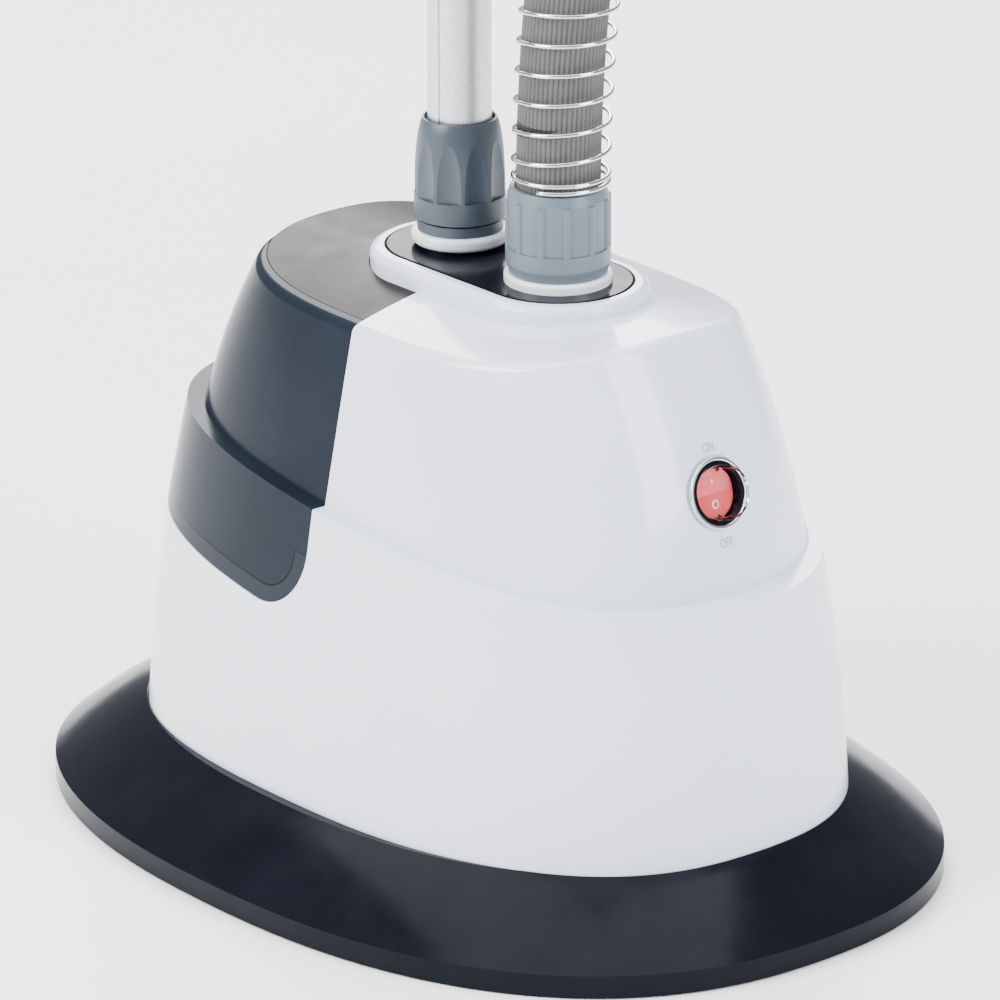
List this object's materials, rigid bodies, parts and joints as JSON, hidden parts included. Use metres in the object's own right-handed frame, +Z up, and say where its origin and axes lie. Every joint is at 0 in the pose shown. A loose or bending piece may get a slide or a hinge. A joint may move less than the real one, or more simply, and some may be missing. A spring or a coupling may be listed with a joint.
{
  "type": "garment steamer",
  "caption": "Standing garment steamer with a white housing, dark lift-off water tank, telescopic pole, folding hanger, steam hose and hand-held steam head.",
  "frame": {"origin": "on the floor under the middle of the base", "axes": "+Z up along the pole, front with the switch faces -Y, water tank at +Y"},
  "size_m": [0.4377, 0.36, 1.433],
  "materials": {
    "white_shell": "gloss",
    "black_base": "gloss",
    "tank_smoke": "gloss",
    "lid_black": "satin",
    "slate": "satin",
    "light_slate": "satin",
    "white_trim": "gloss",
    "silver_tube": "satin",
    "spring_steel": "polished",
    "hose_grey": "ribbed",
    "foot_rubber": "matte",
    "inner_plastic": "matte",
    "red_rocker": "gloss",
    "clear_cap": "clear",
    "chrome_trim": "polished",
    "cast_alloy": "cast",
    "silicone": "matte",
    "steel": "brushed"
  },
  "bodies": {
    "steamer": {"base_skirt": "black_base", "base_plate": "black_base", "foot_1": "foot_rubber", "foot_2": "foot_rubber", "foot_3": "foot_rubber", "foot_4": "foot_rubber", "housing": "white_shell", "top_plate": "black_base", "pole_socket": "black_base", "pole_flange": "white_trim", "pole_seat_ring": "slate", "hose_ring": "white_trim", "hose_outlet": "black_base", "lower_pole": "silver_tube", "pole_bushing": "inner_plastic", "lock_collar": "slate", "lever_pin": "steel", "head_holder": "slate", "hose": "hose_grey", "hose_spring": "spring_steel", "switch_ring": "chrome_trim", "switch_body": "black_base", "switch_cap": "clear_cap", "boiler": "cast_alloy", "heating_tube": "steel", "boiler_stand": "steel", "thermostat": "inner_plastic", "thermal_fuse": "inner_plastic", "steam_pipe": "silicone", "terminal_block": "inner_plastic", "cord_gland": "foot_rubber", "valve_seat": "inner_plastic", "water_pipe": "silicone"},
    "water_tank": {"tank": "tank_smoke", "valve_cage": "inner_plastic", "valve_spring": "spring_steel"},
    "lid": {"tank_lid": "lid_black"},
    "plunger": {"valve_plunger": "inner_plastic"},
    "pole_nut_body": {"pole_nut": "slate"},
    "hose_nut_body": {"hose_nut": "light_slate"},
    "lever": {"lock_lever": "light_slate"},
    "rocker_body": {"rocker": "red_rocker"},
    "pole_upper": {"upper_pole": "silver_tube", "upper_pole_foot": "inner_plastic", "hanger_hub": "slate", "arm_pin_left": "steel", "arm_pin_right": "steel"},
    "hanger_left": {"arm_left": "slate", "clip_body_left": "light_slate", "clip_pin_left": "steel"},
    "hanger_right": {"arm_right": "slate", "clip_body_right": "light_slate", "clip_pin_right": "steel"},
    "jaw_left": {"clip_jaw_left": "light_slate"},
    "jaw_right": {"clip_jaw_right": "light_slate"},
    "steam_head": {"head_handle": "white_shell", "head_shell": "white_shell", "steam_plate": "cast_alloy", "hose_cuff": "slate"}
  },
  "joints": [
    {"name": "tank_lift", "type": "slide", "parent": "steamer", "child": "water_tank", "axis": [0, 0, 1], "range_m": [0, 0.06]},
    {"name": "lid_hinge", "type": "hinge", "parent": "water_tank", "child": "lid", "pos_m": [0, 0.0892, 0.2094], "axis": [-1, 0, 0], "range_deg": [0, 75]},
    {"name": "plunger_travel", "type": "slide", "parent": "water_tank", "child": "plunger", "axis": [0, 0, 1], "range_m": [0, 0.006], "stiffness_N_per_m": 60, "deforming": ["valve_spring"]},
    {"name": "pole_nut_turn", "type": "hinge", "parent": "steamer", "child": "pole_nut_body", "pos_m": [0, 0.0171, 0.24], "axis": [0, 0, 1], "range_deg": [0, 180]},
    {"name": "hose_nut_turn", "type": "hinge", "parent": "steamer", "child": "hose_nut_body", "pos_m": [0, -0.0369, 0.235], "axis": [0, 0, 1], "range_deg": [0, 60]},
    {"name": "lock_lever_hinge", "type": "hinge", "parent": "steamer", "child": "lever", "pos_m": [0, 0.0371, 1.265], "axis": [1, 0, 0], "range_deg": [0, 80]},
    {"name": "rocker_tilt", "type": "hinge", "parent": "steamer", "child": "rocker_body", "pos_m": [0, -0.11827, 0.15692], "axis": [1, 0, 0], "range_deg": [-10, 0]},
    {"name": "pole_slide", "type": "slide", "parent": "steamer", "child": "pole_upper", "axis": [0, 0, 1], "range_m": [0, 0.35]},
    {"name": "arm_left_fold", "type": "hinge", "parent": "pole_upper", "child": "hanger_left", "pos_m": [-0.03, 0.0171, 1.409], "axis": [0, -1, 0], "range_deg": [0, 45]},
    {"name": "arm_right_fold", "type": "hinge", "parent": "pole_upper", "child": "hanger_right", "pos_m": [0.03, 0.0171, 1.409], "axis": [0, 1, 0], "range_deg": [0, 45]},
    {"name": "clip_left_open", "type": "hinge", "parent": "hanger_left", "child": "jaw_left", "pos_m": [-0.112, 0.0171, 1.361], "axis": [-1, 0, 0], "range_deg": [0, 25], "stiffness_Nm_per_rad": 0.2},
    {"name": "clip_right_open", "type": "hinge", "parent": "hanger_right", "child": "jaw_right", "pos_m": [0.112, 0.0171, 1.361], "axis": [-1, 0, 0], "range_deg": [0, 25], "stiffness_Nm_per_rad": 0.2},
    {"name": "head_lift", "type": "slide", "parent": "steamer", "child": "steam_head", "axis": [0, 0, 1], "range_m": [0, 0.03]}
  ]
}
